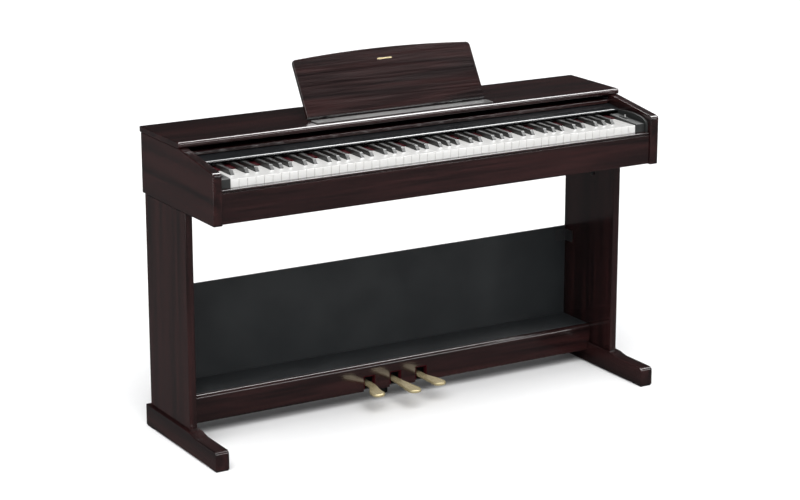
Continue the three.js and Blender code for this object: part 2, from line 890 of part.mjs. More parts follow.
// A flat metal support from the back of the rest down to the lid.
function addRestSupports() {
  const pivot = supportPivot();
  const slope = radians(supportSlope);
  const drop = pivot.z - topSurface - gap - (supportThickness / 2) * Math.cos(slope);
  const length = drop / Math.sin(slope);
  const x0 = supportOffset - supportWidth / 2;
  const arm = block(
    [x0, x0 + supportWidth],
    [0, length],
    [-supportThickness / 2, supportThickness / 2],
  );
  const knuckle = cylinderX(supportThickness * 0.8, x0, x0 + supportWidth, 0, 0, 12);
  const support = join(arm, knuckle).rotateX(-slope).translate(0, pivot.y, pivot.z);
  addPair('rest_support', support, steelDark);
}

// ---------------------------------------------------------------- stand

// Foot from the side: a low toe that swells up to the seat of the leg.
function addFeet() {
  const y0 = lidBack - footLength;
  const y1 = lidBack;
  const z0 = padThickness;
  const seat = footSeat;
  const toe = seat - toeDrop;
  const swell = legY - toeStart;
  const shape = new THREE.Shape();
  shape.moveTo(y0 + 3, z0);
  shape.lineTo(y1, z0);
  shape.lineTo(y1, seat);
  shape.lineTo(legY - 2, seat);
  shape.bezierCurveTo(legY - 20, seat, swell + 16, toe, swell, toe);
  shape.lineTo(y0 + 12, toe);
  shape.quadraticCurveTo(y0, toe, y0, toe - 12);
  shape.lineTo(y0, z0 + 3);
  shape.quadraticCurveTo(y0, z0, y0 + 3, z0);
  const x1 = standHalf + footProud;
  addPair('foot', acrossX(shape, x1 - footWidth, x1), wood);
}

function addPads() {
  const y0 = lidBack - footLength + padInset;
  const y1 = lidBack - padInset;
  const x1 = standHalf + footProud - padInset;
  const span = [x1 - footWidth + padInset * 2, x1];
  const height = [0, padThickness - gap];
  addPair('front_pad', block(span, [y0, y0 + padLength], height), rubberBlack);
  addPair('back_pad', block(span, [y1 - padLength, y1], height), rubberBlack);
}

function addLegs() {
  const z0 = footSeat + gap;
  const z1 = bodyBottom - gap;
  const plan = outline([
    [standInner, legY, 3],
    [standHalf, legY, 3],
    [standHalf, legBack],
    [standInner, legBack],
  ]);
  addPair('leg', upZ(plan, z0, z1), wood);
}

function addStandPanel() {
  const half = standInner - gap;
  const panel = block([-half, half], [legBack - standPanelThickness, legBack], [footSeat + gap, standPanelTop]);
  add('stand_back_panel', panel, boardPaint);
}

// Angle brackets that hold the stand's back panel to the legs.
function addBrackets() {
  const x1 = standInner - gap;
  const y1 = legBack - standPanelThickness - gap;
  const plan = outline([
    [x1, y1 - bracketReach],
    [x1, y1],
    [x1 - bracketReach, y1],
    [x1 - bracketReach, y1 - bracketThickness],
    [x1 - bracketThickness, y1 - bracketThickness],
    [x1 - bracketThickness, y1 - bracketReach],
  ]);
  const top = standPanelTop - bracketDrop;
  addPair('panel_bracket', upZ(plan, top - bracketHeight, top), steelDark);
}

// ---------------------------------------------------------------- pedal box

const boxFront = front + pedalBoxFront;
const boxInner = boxFront + pedalBoxWall + gap;
const boxBack = legBack - standPanelThickness - gap;
const boxTop = pedalBoxBottom + pedalBoxHeight;
const levellerY = (boxInner + boxBack) / 2;

// Front board with a rounded top edge, a slot for each pedal and ends that clear the feet.
function addPedalBoxFront() {
  const half = standInner - gap;
  const back = boxFront + pedalBoxWall;
  const side = outline([
    [boxFront, pedalBoxBottom],
    [back, pedalBoxBottom],
    [back, boxTop],
    [boxFront, boxTop, pedalBoxNose],
  ]);
  const depth = [boxFront - overlap, back + overlap];
  const slots = pedals.map(({ side: hand }) => {
    const x = hand * pedalPitch;
    const span = [x - pedalSlotWidth / 2, x + pedalSlotWidth / 2];
    return block(span, depth, [pedalBoxBottom - overlap, pedalSlotTop]);
  });
  const ends = [[-half - overlap, gap - footInner], [footInner - gap, half + overlap]].map(
    (span) => block(span, depth, [pedalBoxBottom - overlap, footSeat + gap]),
  );
  add('pedal_box_front', cut(acrossX(side, -half, half), ...slots, ...ends), wood);
}

// Cover behind the front board: a flat top and a back wall.
function addPedalBoxHousing() {
  const half = standInner - gap;
  const skin = outline([
    [boxInner, boxTop - pedalBoxSkin],
    [boxInner, boxTop],
    [boxBack, boxTop],
    [boxBack, footSeat + gap],
    [boxBack - pedalBoxSkin, footSeat + gap],
    [boxBack - pedalBoxSkin, boxTop - pedalBoxSkin],
  ]);
  add('pedal_box_housing', acrossX(skin, -half, half), panelBlack);
}

// Base plate with a pair of ears beside the back of each pedal.
function addPedalBoxBase() {
  const half = footInner - gap;
  const baseTop = pedalBoxBottom + pedalBoxSkin;
  const pivot = pedalPivot();
  const plate = block([-half, half], [boxInner, boxBack], [pedalBoxBottom, baseTop]);
  const stemHole = turned(
    [
      [0, pedalBoxBottom - overlap],
      [levellerStemRadius + slip, pedalBoxBottom - overlap],
      [levellerStemRadius + slip, baseTop + overlap],
      [0, baseTop + overlap],
    ],
    0,
    levellerY,
    20,
  );
  const ears = pedals.flatMap(({ side }) => [-1, 1].map((hand) => {
    const inner = side * pedalPitch + hand * (pedalNeckWidth / 2 + earGap);
    const outer = inner + hand * earThickness;
    return block(
      [Math.min(inner, outer), Math.max(inner, outer)],
      [pivot.y - 10, pivot.y + 10],
      [baseTop - overlap, pedalTop + 6],
    );
  }));
  add('pedal_box_base', cut(join(plate, ...ears), stemHole), steelDark);
}

function pedalPivot() {
  return { y: boxFront + pedalTail - pedalPivotInset, z: pedalTop - pedalThickness / 2 };
}

// A pedal in plan: a straight neck through the slot that swells into a round tip.
function addPedals() {
  for (const { name, side, reach, flare } of pedals) {
    const x = side * pedalPitch;
    const neck = pedalNeckWidth / 2;
    const tip = pedalTipWidth / 2;
    const tipX = x + flare;
    const tipY = boxFront - reach;
    const tipCentre = tipY + tip;
    const bend = boxFront - 6;
    const shape = new THREE.Shape();
    shape.moveTo(x + neck, boxFront + pedalTail);
    shape.lineTo(x - neck, boxFront + pedalTail);
    shape.lineTo(x - neck, bend);
    shape.bezierCurveTo(x - neck, bend - 22, tipX - tip, tipCentre + 30, tipX - tip, tipCentre);
    shape.bezierCurveTo(tipX - tip, tipY + 4, tipX - tip / 2, tipY, tipX, tipY);
    shape.bezierCurveTo(tipX + tip / 2, tipY, tipX + tip, tipY + 4, tipX + tip, tipCentre);
    shape.bezierCurveTo(tipX + tip, tipCentre + 30, x + neck, bend - 22, x + neck, bend);
    shape.closePath();
    const lever = new THREE.ExtrudeGeometry(shape, {
      depth: pedalThickness,
      bevelEnabled: false,
      curveSegments: 8,
    });
    add(name, lever.translate(0, 0, pedalTop - pedalThickness), brassPale);
  }
}

// Screwed foot under the pedal box that carries it on the floor.
function addLeveller() {
  const profile = [
    [0, 0],
    [levellerRadius, 0],
    [levellerRadius, levellerFootHeight],
    [levellerStemRadius, levellerFootHeight + 2],
    [levellerStemRadius, pedalBoxBottom - gap],
    [0, pedalBoxBottom - gap],
  ];
  add('pedal_box_leveller', turned(profile, 0, levellerY, 20), rubberBlack);
}

// ---------------------------------------------------------------- assembly

addFeet();
addPads();
addLegs();
addStandPanel();
addBrackets();
addPedalBoxFront();
addPedalBoxHousing();
addPedalBoxBase();
addPedals();
addLeveller();
addSidePanels();
addKeyBed();
addFrontRail();
addBackBoard();
addTopBoard();
addChassis();
addKeys();
addFelt();
addKeyBlocks();
addControlPanel();
addCoverRails();
addCoverShaft();
addKeyCover();
addSpeakers();
addCircuitBoard();
addHeadphoneBox();
addRearJackPanel();
addLedge();
addMusicRest();
addRestSupports();

export default piano;
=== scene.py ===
import json
import math

import bmesh
import bpy
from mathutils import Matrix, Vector

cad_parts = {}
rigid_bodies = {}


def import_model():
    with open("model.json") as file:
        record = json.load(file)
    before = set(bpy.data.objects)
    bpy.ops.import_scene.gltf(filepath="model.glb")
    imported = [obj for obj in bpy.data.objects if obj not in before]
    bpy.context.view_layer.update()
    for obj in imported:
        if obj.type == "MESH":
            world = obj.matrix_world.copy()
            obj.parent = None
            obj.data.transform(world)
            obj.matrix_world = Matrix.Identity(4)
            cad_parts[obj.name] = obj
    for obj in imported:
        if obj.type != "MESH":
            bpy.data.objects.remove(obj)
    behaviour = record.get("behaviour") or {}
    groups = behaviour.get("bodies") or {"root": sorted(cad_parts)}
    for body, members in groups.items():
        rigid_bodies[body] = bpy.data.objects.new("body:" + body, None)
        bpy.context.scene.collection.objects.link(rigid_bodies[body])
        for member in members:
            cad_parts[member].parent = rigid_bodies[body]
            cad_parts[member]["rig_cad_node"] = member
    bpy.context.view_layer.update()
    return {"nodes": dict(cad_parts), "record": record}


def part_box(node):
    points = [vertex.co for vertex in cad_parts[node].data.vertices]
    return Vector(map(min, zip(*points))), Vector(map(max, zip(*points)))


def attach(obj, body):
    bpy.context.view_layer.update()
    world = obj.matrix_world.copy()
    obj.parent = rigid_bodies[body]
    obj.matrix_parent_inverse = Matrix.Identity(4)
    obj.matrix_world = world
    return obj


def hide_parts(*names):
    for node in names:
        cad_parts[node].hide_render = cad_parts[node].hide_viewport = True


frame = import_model()

MM = 0.001
CABINET = "cabinet"

PEDALS = ("soft_pedal", "sostenuto_pedal", "sustain_pedal")
PEDAL_SPREAD = 82 * MM  # from the middle pedal to each of its neighbours
REST_PIVOT = Vector((0, 45 * MM, 820 * MM))
REST_LEAN = math.radians(59.4)
REST_HINGE_OFFSET = 190 * MM  # from the middle of the rest
LEDGE_STRIPES = 25  # ribs and the grooves between them

# Strength of the studio's surroundings
ON_MATT_SURFACES = 0.45
BEHIND_THE_PIANO = 1.03
IN_MIRRORED_LIGHT = 0.02

FORWARD, BACK = Vector((0, -1, 0)), Vector((0, 1, 0))
DOWN, UP = Vector((0, 0, -1)), Vector((0, 0, 1))
UNTURNED = (0, 0, 0)


# ---------------------------------------------------------------- camera and studio


def place_camera():
    """A long lens in front of the bass end, looking down a little."""
    bpy.ops.object.camera_add(
        location=(-3.075, -5.164, 2.091),
        rotation=(math.radians(74.63), 0, math.radians(-30.62)),
    )
    camera = bpy.context.active_object
    camera.name = "camera"
    camera.data.sensor_width = 36
    camera.data.lens = 104.5
    bpy.context.scene.camera = camera


def soft_box(name, place, target, size, power):
    """An area lamp that looks at a point and shows only as a sheen on edges and faces."""
    bpy.ops.object.light_add(type="AREA", location=place)
    lamp = bpy.context.active_object
    lamp.name = name
    lamp.data.shape = "RECTANGLE"
    lamp.data.size, lamp.data.size_y = size
    lamp.data.energy = power
    lamp.visible_camera = False
    lamp.visible_diffuse = False
    aim = Vector(target) - Vector(place)
    lamp.rotation_euler = aim.to_track_quat("-Z", "Y").to_euler()


def light_studio():
    """A pale backdrop that is dim in mirrored light, a broad light and boxes for the edges."""
    world = bpy.data.worlds.new("studio")
    bpy.context.scene.world = world
    world.use_nodes = True
    tree = world.node_tree
    sky = tree.nodes["Background"]
    sky.inputs["Color"].default_value = (0.98, 0.985, 1.0, 1)
    path = tree.nodes.new("ShaderNodeLightPath").outputs
    strength = spread(tree, path["Is Camera Ray"], 0, 1, ON_MATT_SURFACES, BEHIND_THE_PIANO)
    dimmed = IN_MIRRORED_LIGHT - ON_MATT_SURFACES
    strength = summed(tree, strength, path["Is Glossy Ray"], dimmed)
    tree.links.new(strength, sky.inputs["Strength"])
    bpy.ops.object.light_add(type="SUN", rotation=(math.radians(33), 0, math.radians(-28)))
    sun = bpy.context.active_object
    sun.name = "broad_light"
    sun.data.energy = 3.5
    sun.data.angle = math.radians(60)
    soft_box("overhead_box", (1.8, 0.4, 3.7), (0.2, -0.1, 0.8), (3.8, 1.9), 400)
    soft_box("front_box", (2.7, -4.4, 1.9), (0.2, -0.2, 0.77), (3.6, 0.6), 85)
    soft_box("bass_end_box", (-2.6, -1.35, 0.45), (-0.67, -0.2, 0.6), (0.9, 0.9), 12)
    bpy.context.scene.view_settings.view_transform = "Standard"


def lay_floor():
    """A plain pale floor, dimmer where it is mirrored in the cabinet."""
    let_go()
    bpy.ops.mesh.primitive_plane_add(size=80, location=(0, 0, 0))
    floor = bpy.context.active_object
    floor.name = "studio_floor"
    finish, tree, shader, coordinates = start_finish("studio_floor", specular=0.1)
    mirrored = tree.nodes.new("ShaderNodeLightPath").outputs["Is Glossy Ray"]
    mottle = stretched_noise(tree, coordinates, (40, 40, 40))
    pale = blended(tree, mottle, (0.93, 0.93, 0.93), (0.95, 0.95, 0.95))
    tree.links.new(blended(tree, mirrored, pale, (0.08, 0.08, 0.08)), shader.inputs["Base Color"])
    shader.inputs["Roughness"].default_value = 0.8
    floor.data.materials.append(finish)


# ---------------------------------------------------------------- shared effects


def start_effect(name, inputs, outputs):
    """An empty shader node group with named sockets."""
    effect = bpy.data.node_groups.new(name, "ShaderNodeTree")
    for label, kind in inputs:
        effect.interface.new_socket(label, in_out="INPUT", socket_type="NodeSocket" + kind)
    for label, kind in outputs:
        effect.interface.new_socket(label, in_out="OUTPUT", socket_type="NodeSocket" + kind)
    return effect, effect.nodes.new("NodeGroupInput"), effect.nodes.new("NodeGroupOutput")


def stretched_noise(tree, vector, scale, detail=4.0, distortion=0.0):
    """Noise drawn out along the directions whose scale is small."""
    stretch = tree.nodes.new("ShaderNodeMapping")
    stretch.inputs["Scale"].default_value = scale
    tree.links.new(vector, stretch.inputs["Vector"])
    noise = tree.nodes.new("ShaderNodeTexNoise")
    noise.inputs["Scale"].default_value = 1.0
    noise.inputs["Detail"].default_value = detail
    noise.inputs["Distortion"].default_value = distortion
    tree.links.new(stretch.outputs["Vector"], noise.inputs["Vector"])
    return noise.outputs["Fac"]


def spread(tree, value, low, high, bottom=0.0, top=1.0):
    """Maps a value from one range to another."""
    ranged = tree.nodes.new("ShaderNodeMapRange")
    tree.links.new(value, ranged.inputs["Value"])
    labels = ("From Min", "From Max", "To Min", "To Max")
    for label, number in zip(labels, (low, high, bottom, top)):
        ranged.inputs[label].default_value = number
    return ranged.outputs["Result"]


def blended(tree, share, first, second, kind="MIX"):
    """Mixes two colours, which are sockets or plain colours."""
    mix = tree.nodes.new("ShaderNodeMix")
    mix.data_type = "RGBA"
    mix.blend_type = kind
    tree.links.new(share, mix.inputs[0])
    for socket, colour in ((mix.inputs[6], first), (mix.inputs[7], second)):
        if isinstance(colour, bpy.types.NodeSocket):
            tree.links.new(colour, socket)
        else:
            socket.default_value = (*colour, 1)
    return mix.outputs[2]


def summed(tree, first, second, share):
    """One value plus a share of another."""
    add = tree.nodes.new("ShaderNodeMath")
    add.operation = "MULTIPLY_ADD"
    tree.links.new(second, add.inputs[0])
    add.inputs[1].default_value = share
    tree.links.new(first, add.inputs[2])
    return add.outputs[0]


def wood_grain():
    """Rosewood figure along X: broad bands, fine fibres and short dark pores."""
    effect, given, made = start_effect(
        "wood_grain",
        [("Vector", "Vector"), ("Dark", "Color"), ("Light", "Color")],
        [("Color", "Color"), ("Roughness", "Float"), ("Height", "Float")],
    )
    vector = given.outputs["Vector"]
    bands = stretched_noise(effect, vector, (1.1, 22, 22), 3, 1.2)
    fibres = stretched_noise(effect, vector, (5, 190, 190), 5, 0.4)
    pores = stretched_noise(effect, vector, (22, 620, 620), 2)
    figure = summed(effect, spread(effect, bands, 0.36, 0.66, 0.0, 0.5), fibres, 0.9)
    colour = blended(
        effect,
        spread(effect, figure, 0.42, 0.98),
        given.outputs["Dark"],
        given.outputs["Light"],
    )
    dark_pores = spread(effect, pores, 0.56, 0.68, 0.0, 0.55)
    pored = blended(effect, dark_pores, colour, (0.006, 0.004, 0.004))
    effect.links.new(pored, made.inputs["Color"])
    effect.links.new(spread(effect, fibres, 0.3, 0.7, 0.15, 0.25), made.inputs["Roughness"])
    effect.links.new(summed(effect, fibres, pores, -0.8), made.inputs["Height"])
    return effect


def fine_mottle():
    """Slight unevenness of a moulded, sprayed or polished surface."""
    effect, given, made = start_effect(
        "fine_mottle",
        [("Vector", "Vector"), ("Scale", "Float"), ("Smooth", "Float"), ("Rough", "Float")],
        [("Roughness", "Float"), ("Height", "Float"), ("Mask", "Float")],
    )
    cloud = effect.nodes.new("ShaderNodeTexNoise")
    cloud.inputs["Scale"].default_value = 9
    cloud.inputs["Detail"].default_value = 3
    effect.links.new(given.outputs["Vector"], cloud.inputs["Vector"])
    grit = effect.nodes.new("ShaderNodeTexNoise")
    grit.inputs["Detail"].default_value = 2
    effect.links.new(given.outputs["Vector"], grit.inputs["Vector"])
    effect.links.new(given.outputs["Scale"], grit.inputs["Scale"])
    mask = spread(effect, cloud.outputs["Fac"], 0.35, 0.65)
    ranged = effect.nodes.new("ShaderNodeMapRange")
    effect.links.new(mask, ranged.inputs["Value"])
    effect.links.new(given.outputs["Smooth"], ranged.inputs["To Min"])
    effect.links.new(given.outputs["Rough"], ranged.inputs["To Max"])
    effect.links.new(ranged.outputs["Result"], made.inputs["Roughness"])
    effect.links.new(grit.outputs["Fac"], made.inputs["Height"])
    effect.links.new(mask, made.inputs["Mask"])
    return effect


def felt_nap():
    """Matted wool: short crossing hairs and soft clumps."""
    effect, given, made = start_effect(
        "felt_nap", [("Vector", "Vector")], [("Mask", "Float"), ("Height", "Float")]
    )
    vector = given.outputs["Vector"]
    hairs = stretched_noise(effect, vector, (900, 2600, 1500), 3, 1.5)
    clumps = stretched_noise(effect, vector, (160, 160, 160), 3)
    nap = summed(effect, hairs, clumps, 0.6)
    effect.links.new(spread(effect, nap, 0.5, 1.1), made.inputs["Mask"])
    effect.links.new(nap, made.inputs["Height"])
    return effect


def brushed_lines():
    """Fine parallel scratches along X, as brushing leaves on metal."""
    effect, given, made = start_effect(
        "brushed_lines", [("Vector", "Vector")], [("Roughness", "Float"), ("Height", "Float")]
    )
    lines = stretched_noise(effect, given.outputs["Vector"], (14, 1800, 1800), 3)
    effect.links.new(spread(effect, lines, 0.3, 0.7, 0.16, 0.34), made.inputs["Roughness"])
    effect.links.new(lines, made.inputs["Height"])
    return effect


# ---------------------------------------------------------------- finishes


def start_finish(name, metallic=0.0, specular=0.5, coat=0.0, coat_roughness=0.1):
    """A material with plain constants on its shader, and the coordinates of the piece."""
    finish = bpy.data.materials.new(name)
    finish.use_nodes = True
    tree = finish.node_tree
    shader = tree.nodes["Principled BSDF"]
    shader.inputs["Metallic"].default_value = metallic
    shader.inputs["Specular IOR Level"].default_value = specular
    shader.inputs["Coat Weight"].default_value = coat
    shader.inputs["Coat Roughness"].default_value = coat_roughness
    coordinates = tree.nodes.new("ShaderNodeTexCoord").outputs["Object"]
    return finish, tree, shader, coordinates


def effect_in(tree, effect, vector, **values):
    """Puts a shared effect into a material with its own values."""
    node = tree.nodes.new("ShaderNodeGroup")
    node.node_tree = effect
    tree.links.new(vector, node.inputs["Vector"])
    for label, value in values.items():
        node.inputs[label].default_value = value
    return node


def raise_grain(tree, shader, height, distance, strength=1.0):
    """Lets a height show in the surface of a finish."""
    bump = tree.nodes.new("ShaderNodeBump")
    bump.inputs["Distance"].default_value = distance
    bump.inputs["Strength"].default_value = strength
    tree.links.new(height, bump.inputs["Height"])
    tree.links.new(bump.outputs["Normal"], shader.inputs["Normal"])


def turned(tree, coordinates, turn):
    """Coordinates turned by angles in degrees."""
    mapping = tree.nodes.new("ShaderNodeMapping")
    mapping.inputs["Rotation"].default_value = [math.radians(angle) for angle in turn]
    tree.links.new(coordinates, mapping.inputs["Vector"])
    return mapping.outputs["Vector"]


def rosewood(name, effect, turn=UNTURNED):
    """Satin dark rosewood, its grain turned from X by the given angles."""
    finish, tree, shader, coordinates = start_finish(
        name, specular=0.34, coat=0.4, coat_roughness=0.12
    )
    grain = effect_in(
        tree, effect, turned(tree, coordinates, turn),
        Dark=(0.0076, 0.0036, 0.0038, 1), Light=(0.028, 0.0094, 0.0092, 1),
    )
    tree.links.new(grain.outputs["Color"], shader.inputs["Base Color"])
    tree.links.new(grain.outputs["Roughness"], shader.inputs["Roughness"])
    raise_grain(tree, shader, grain.outputs["Height"], 0.00006, 0.6)
    return finish


def mottled(name, effect, low, high, scale, smooth, rough, depth, **shading):
    """A plain finish whose colour, roughness and surface vary a little."""
    finish, tree, shader, coordinates = start_finish(name, **shading)
    mottle = effect_in(tree, effect, coordinates, Scale=scale, Smooth=smooth, Rough=rough)
    colour = blended(tree, mottle.outputs["Mask"], low, high)
    tree.links.new(colour, shader.inputs["Base Color"])
    tree.links.new(mottle.outputs["Roughness"], shader.inputs["Roughness"])
    raise_grain(tree, shader, mottle.outputs["Height"], depth)
    return finish


def red_felt(effect):
    """Red wool felt, its colour made darker than the wool itself: painted shade for the dim gap
    under the control panel.
    """
    finish, tree, shader, coordinates = start_finish("red_felt", specular=0.1)
    nap = effect_in(tree, effect, coordinates)
    # Both felt colours are darkened as painted shade, standing for the shade under the control
    # panel.
    colour = blended(tree, nap.outputs["Mask"], (0.022, 0.0012, 0.0026), (0.062, 0.003, 0.007))
    tree.links.new(colour, shader.inputs["Base Color"])
    shader.inputs["Roughness"].default_value = 0.95
    raise_grain(tree, shader, nap.outputs["Height"], 0.0004)
    return finish


def brushed(name, effect, colour, turn=UNTURNED, metallic=1.0):
    """Brushed metal, its lines turned from X by the given angles."""
    finish, tree, shader, coordinates = start_finish(name, metallic=metallic)
    lines = effect_in(tree, effect, turned(tree, coordinates, turn))
    bright = spread(tree, lines.outputs["Height"], 0.3, 0.7)
    pale = [min(1.0, part * 1.12) for part in colour]
    tree.links.new(blended(tree, bright, colour, pale), shader.inputs["Base Color"])
    tree.links.new(lines.outputs["Roughness"], shader.inputs["Roughness"])
    raise_grain(tree, shader, lines.outputs["Height"], 0.00001)
    return finish


def make_finishes():
    """All finishes of the piano, by the names of the material slots and a few of their own."""
    grain, mottle, nap, lines = wood_grain(), fine_mottle(), felt_nap(), brushed_lines()
    return {
        "cabinet_wood": rosewood("rosewood_across", grain),
        "side_wood": rosewood("rosewood_front_to_back", grain, (0, 0, 90)),
        "cabinet_wood_upright": rosewood("rosewood_upright", grain, (0, 90, 0)),
        "dark_board": mottled(
            "dark_board", mottle, (0.017, 0.0195, 0.0215), (0.022, 0.025, 0.027),
            900, 0.42, 0.55, 0.00005, specular=0.35,
        ),
        "dark_steel": mottled(
            "powder_coated_steel", mottle, (0.018, 0.018, 0.02), (0.024, 0.024, 0.026),
            1400, 0.4, 0.5, 0.00008,
        ),
        "rubber": mottled(
            "black_rubber", mottle, (0.008, 0.008, 0.008), (0.014, 0.014, 0.014),
            700, 0.65, 0.8, 0.0001, specular=0.3,
        ),
        "block_plastic": mottled(
            "textured_black_plastic", mottle, (0.017, 0.018, 0.0175), (0.021, 0.0225, 0.022),
            1500, 0.42, 0.5, 0.00006,
        ),
        "grey_trim": mottled(
            "light_grey_plastic", mottle, (0.42, 0.42, 0.41), (0.5, 0.5, 0.49),
            800, 0.3, 0.4, 0.00003,
        ),
        "panel_gloss": mottled(
            "black_gloss", mottle, (0.0105, 0.012, 0.0135), (0.013, 0.0145, 0.016),
            500, 0.16, 0.22, 0.00001, coat=0.5, coat_roughness=0.12,
        ),
        "white_key": mottled(
            "white_key_plastic", mottle, (0.76, 0.755, 0.735), (0.79, 0.785, 0.77),
            300, 0.16, 0.22, 0.00001, coat=0.3, coat_roughness=0.1,
        ),
        "black_key": mottled(
            "matt_black_key_plastic", mottle, (0.014, 0.015, 0.0145), (0.019, 0.02, 0.019),
            1700, 0.34, 0.42, 0.00004,
        ),
        "speaker": mottled(
            "speaker_paper", mottle, (0.011, 0.011, 0.011), (0.018, 0.018, 0.018),
            500, 0.7, 0.85, 0.00015, specular=0.2,
        ),
        "circuit": mottled(
            "circuit_lacquer", mottle, (0.012, 0.07, 0.035), (0.02, 0.1, 0.05),
            400, 0.3, 0.4, 0.00005,
        ),
        "pedal_brass": brushed("pale_brass", lines, (0.66, 0.56, 0.33), (0, 0, 90), 0.6),
        "chassis_steel": brushed("brushed_steel", lines, (0.5, 0.5, 0.51)),
        "red_felt": red_felt(nap),
        "ledge_plastic": mottled(
            "dark_grey_ledge", mottle, (0.13, 0.128, 0.125), (0.16, 0.157, 0.153),
            900, 0.25, 0.33, 0.00002,
        ),
        "switch_plastic": mottled(
            "dark_grey_switch", mottle, (0.026, 0.027, 0.027), (0.033, 0.034, 0.034),
            900, 0.3, 0.38, 0.00002,
        ),
    }


# ---------------------------------------------------------------- modelling helpers


def let_go():
    """Nothing stays selected."""
    bpy.ops.object.select_all(action="DESELECT")


def take(piece):
    """Only this piece is selected."""
    let_go()
    piece.select_set(True)
    bpy.context.view_layer.objects.active = piece


def choose_faces(piece, wanted):
    """Selects, in edit mode, the faces for which wanted(centre, normal) is true."""
    shape = bmesh.from_edit_mesh(piece.data)
    for face in shape.faces:
        face.select_set(bool(wanted(face.calc_center_median(), face.normal)))
    shape.select_flush_mode()
    bmesh.update_edit_mesh(piece.data)


def facing(piece, direction):
    """Selects, in edit mode, the faces that look in a direction."""
    choose_faces(piece, lambda centre, normal: normal.dot(direction) > 0.95)


def use_modifier(piece, kind, **settings):
    """Adds a modifier with its settings and applies it."""
    take(piece)
    modifier = piece.modifiers.new(kind.lower(), kind)
    for label, value in settings.items():
        setattr(modifier, label, value)
    bpy.ops.object.modifier_apply(modifier=modifier.name)


def round_edges(piece, width, steps=3, sharp=30):
    """Rounds every edge that turns more than a few degrees, and smooths the rest."""
    use_modifier(
        piece, "BEVEL", width=width, segments=steps, limit_method="ANGLE",
        angle_limit=math.radians(sharp), use_clamp_overlap=True,
    )
    take(piece)
    bpy.ops.object.shade_smooth_by_angle(angle=math.radians(40))
    use_modifier(piece, "WEIGHTED_NORMAL", keep_sharp=True)


def settle(piece, body, finish):
    """Gives a finished piece its body, finish and slot."""
    wear_finish(piece, finish)
    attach(piece, body)
    return piece


def wear_finish(piece, finish):
    """One finish all over a piece."""
    piece.data.materials.clear()
    piece.data.materials.append(finishes[finish])
    for face in piece.data.polygons:
        face.material_index = 0


def body_of_node(node):
    """The body that a part of the drawing belongs to."""
    groups = frame["record"]["behaviour"]["bodies"]
    return next(body for body, members in groups.items() if node in members)


def slot_of_node(node):
    """The material slot of a part of the drawing."""
    rows = frame["record"]["subparts"]
    return next(row["material_slot"] for row in rows if row["node"] == node)


def softened(node, width, steps=3, finish=None, sharp=30):
    """A copy of a plain part with its facets joined and its edges rounded, standing for it."""
    take(frame["nodes"][node])
    bpy.ops.object.duplicate()
    piece = bpy.context.active_object
    piece.name = node + "_finished"
    del piece["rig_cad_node"]
    bpy.ops.object.mode_set(mode="EDIT")
    bpy.ops.mesh.select_all(action="SELECT")
    bpy.ops.mesh.remove_doubles(threshold=0.00002)
    bpy.ops.mesh.dissolve_limited(angle_limit=math.radians(0.3))
    bpy.ops.object.mode_set(mode="OBJECT")
    round_edges(piece, width, steps, sharp)
    settle(piece, body_of_node(node), finish or slot_of_node(node))
    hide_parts(node)
    return piece


def block(name, low, high):
    """A box between two corners, as the start of a piece."""
    let_go()
    low, high = Vector(low), Vector(high)
    bpy.ops.mesh.primitive_cube_add(size=1, location=(low + high) / 2, scale=high - low)
    piece = bpy.context.active_object
    piece.name = name
    bpy.ops.object.transform_apply(location=True, rotation=True, scale=True)
    return piece


def rod(name, place, direction, radius, length, sides=24):
    """A round bar from a place along a direction, as the start of a piece."""
    let_go()
    turn = Vector(direction).to_track_quat("Z", "Y").to_euler()
    middle = Vector(place) + Vector(direction) * (length / 2)
    bpy.ops.mesh.primitive_cylinder_add(
        vertices=sides, radius=radius, depth=length, location=middle, rotation=turn
    )
    piece = bpy.context.active_object
    piece.name = name
    bpy.ops.object.transform_apply(location=True, rotation=True, scale=True)
    return piece


def sink_middle(piece, direction, rim, depth):
    """Insets the end face that looks in a direction, and pushes the middle in."""
    bpy.ops.object.mode_set(mode="EDIT")
    facing(piece, direction)
    bpy.ops.mesh.inset(thickness=rim)
    bpy.ops.mesh.extrude_region_move(TRANSFORM_OT_translate={"value": Vector(direction) * -depth})
    bpy.ops.object.mode_set(mode="OBJECT")


def placed_copy(pattern, name, place, direction=UP, size=1.0):
    """A copy of a pattern with its own mesh, moved, turned from UP and scaled."""
    take(pattern)
    bpy.ops.object.duplicate()
    piece = bpy.context.active_object
    piece.name = name
    piece.location = place
    if direction != UP:
        piece.rotation_euler = direction.to_track_quat("Z", "Y").to_euler()
    piece.scale = (size, size, size)
    bpy.ops.object.transform_apply(location=True, rotation=True, scale=True)
    return piece


def model_screw_pattern():
    """A domed screw head with a driving recess, a metre in radius, to be copied smaller."""
    pattern = rod("screw_pattern", (0, 0, 0), UP, 1.0, 0.45, 16)
    bpy.ops.object.mode_set(mode="EDIT")
    facing(pattern, UP)
    bpy.ops.mesh.inset(thickness=0.28)
    bpy.ops.transform.translate(value=UP * 0.16)
    bpy.ops.object.mode_set(mode="OBJECT")
    sink_middle(pattern, UP, 0.3, 0.4)
    take(pattern)
    bpy.ops.object.shade_smooth_by_angle(angle=math.radians(40))
    return pattern


def screw_head(name, place, direction, radius):
    """A dark screw head whose underside is at a place and whose top looks in a direction."""
    piece = placed_copy(screw_pattern, name, place, direction, radius)
    settle(piece, CABINET, "dark_steel")


def socket_collar(name, place, direction, outer, inner):
    """A steel collar round a socket: a short bar whose middle is pushed in."""
    height = 0.8 * MM
    piece = rod(name, place, direction, outer, height, 32)
    sink_middle(piece, direction, outer - inner, height * 0.98)
    round_edges(piece, height * 0.2, 2)
    return settle(piece, CABINET, "chassis_steel")


# ---------------------------------------------------------------- cabinet


